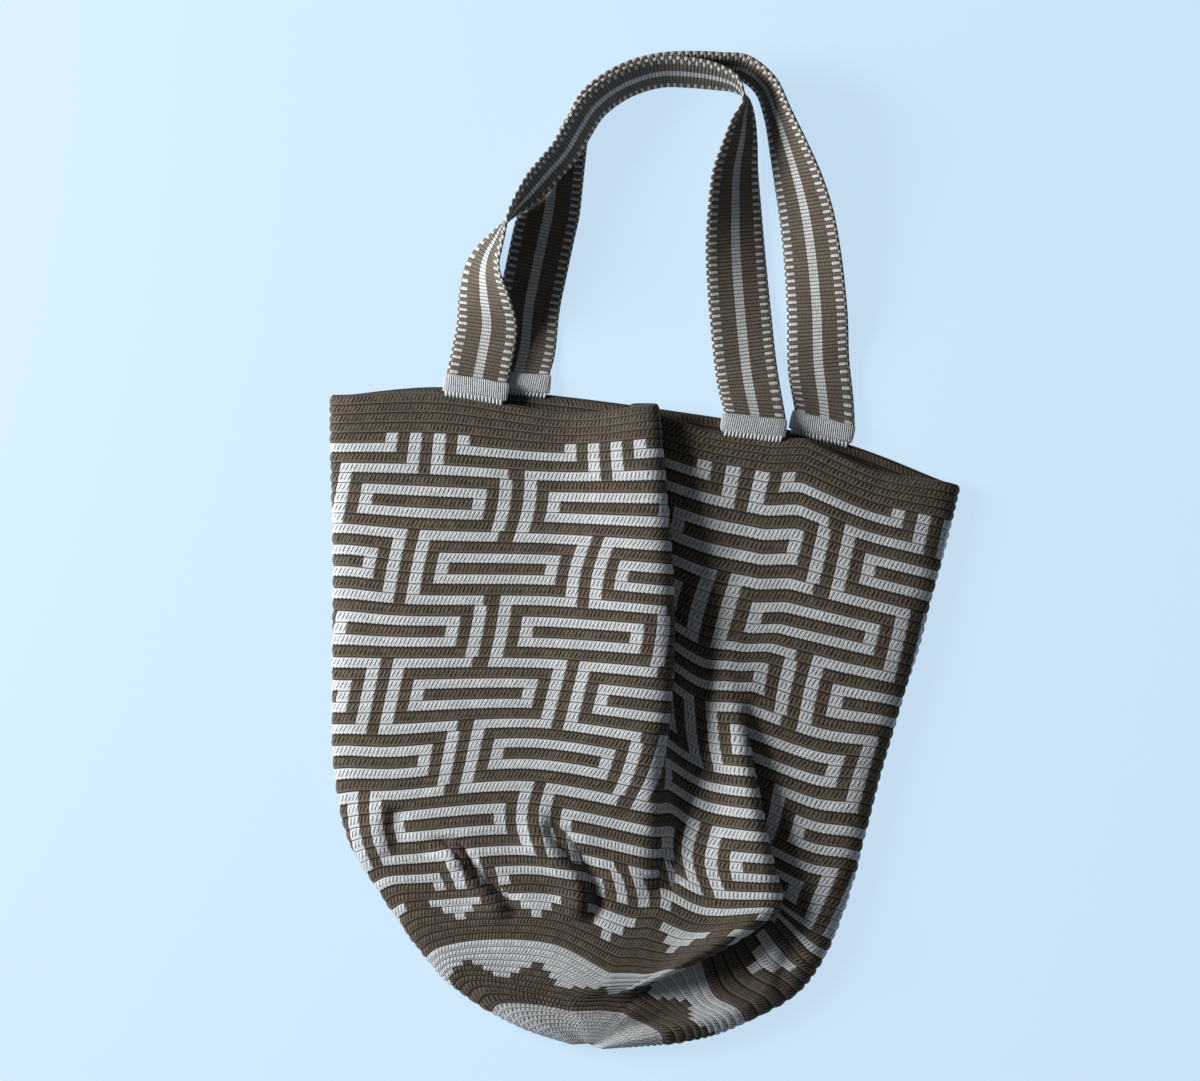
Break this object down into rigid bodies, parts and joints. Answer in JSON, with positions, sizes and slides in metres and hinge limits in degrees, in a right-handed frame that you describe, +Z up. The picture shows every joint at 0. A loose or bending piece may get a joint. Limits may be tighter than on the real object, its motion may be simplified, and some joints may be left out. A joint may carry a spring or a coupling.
{
  "type": "crocheted bag",
  "caption": "Crocheted cylinder bag with a meander pattern, lying on its back with the front pleated and folded over, and twisted webbing handles sewn to the mouth.",
  "frame": {"origin": "on the ground, under the middle of the box round the whole object", "axes": "+X across the bag to its right edge, +Y from the base to the handles, +Z up, away from the ground it lies on"},
  "size_m": [0.365, 0.5784, 0.0402],
  "materials": {
    "crochet": "crocheted cotton, dark taupe with a pale grey pattern",
    "webbing": "woven cotton, ribbed across, pale stripe and dashes",
    "wrap_yarn": "pale grey yarn, wound",
    "seam_yarn": "pale grey yarn, whip stitched"
  },
  "bodies": {
    "root": {"bag_body": "crochet", "front_strap": "webbing", "rear_strap": "webbing", "front_left_wrap": "wrap_yarn", "front_right_wrap": "wrap_yarn", "rear_left_wrap": "wrap_yarn", "rear_right_wrap": "wrap_yarn", "front_left_seam": "seam_yarn", "front_right_seam": "seam_yarn", "rear_left_seam": "seam_yarn", "rear_right_seam": "seam_yarn"}
  },
  "joints": []
}
